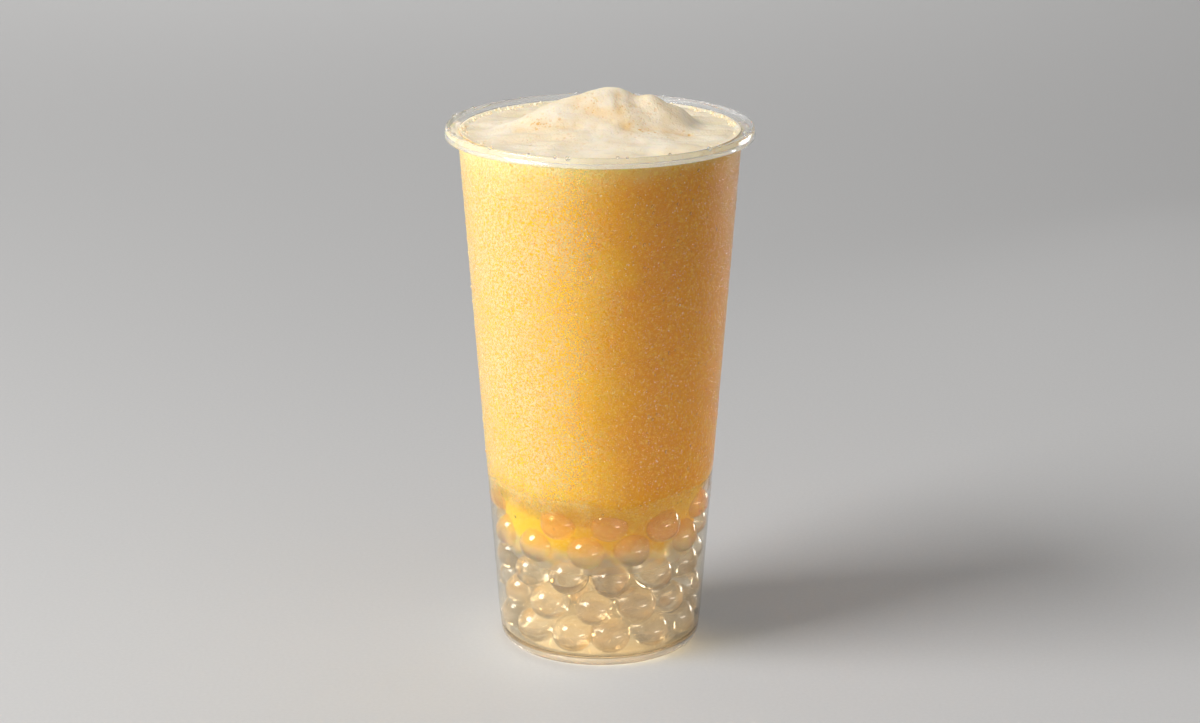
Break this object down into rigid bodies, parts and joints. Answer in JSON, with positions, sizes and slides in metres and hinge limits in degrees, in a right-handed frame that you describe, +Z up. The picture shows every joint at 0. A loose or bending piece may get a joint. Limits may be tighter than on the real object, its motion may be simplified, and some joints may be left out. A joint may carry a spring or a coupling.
{
  "type": "bubble tea",
  "caption": "Tall clear plastic tumbler of iced mango bubble tea with translucent pearls at the bottom and a peaked cream foam cap.",
  "frame": {"origin": "on the table, under the middle of the cup", "axes": "+Z up along the cup's axis, the side that the camera sees towards -Y"},
  "size_m": [0.095, 0.095, 0.1755],
  "materials": {
    "clear_plastic": "glossy",
    "pearl_jelly": "glossy",
    "slush": "satin",
    "foam": "matte"
  },
  "bodies": {
    "root": {"cup": "clear_plastic", "pearl_bed": "pearl_jelly", "mango_slush": "slush", "foam_cap": "foam"}
  },
  "joints": []
}
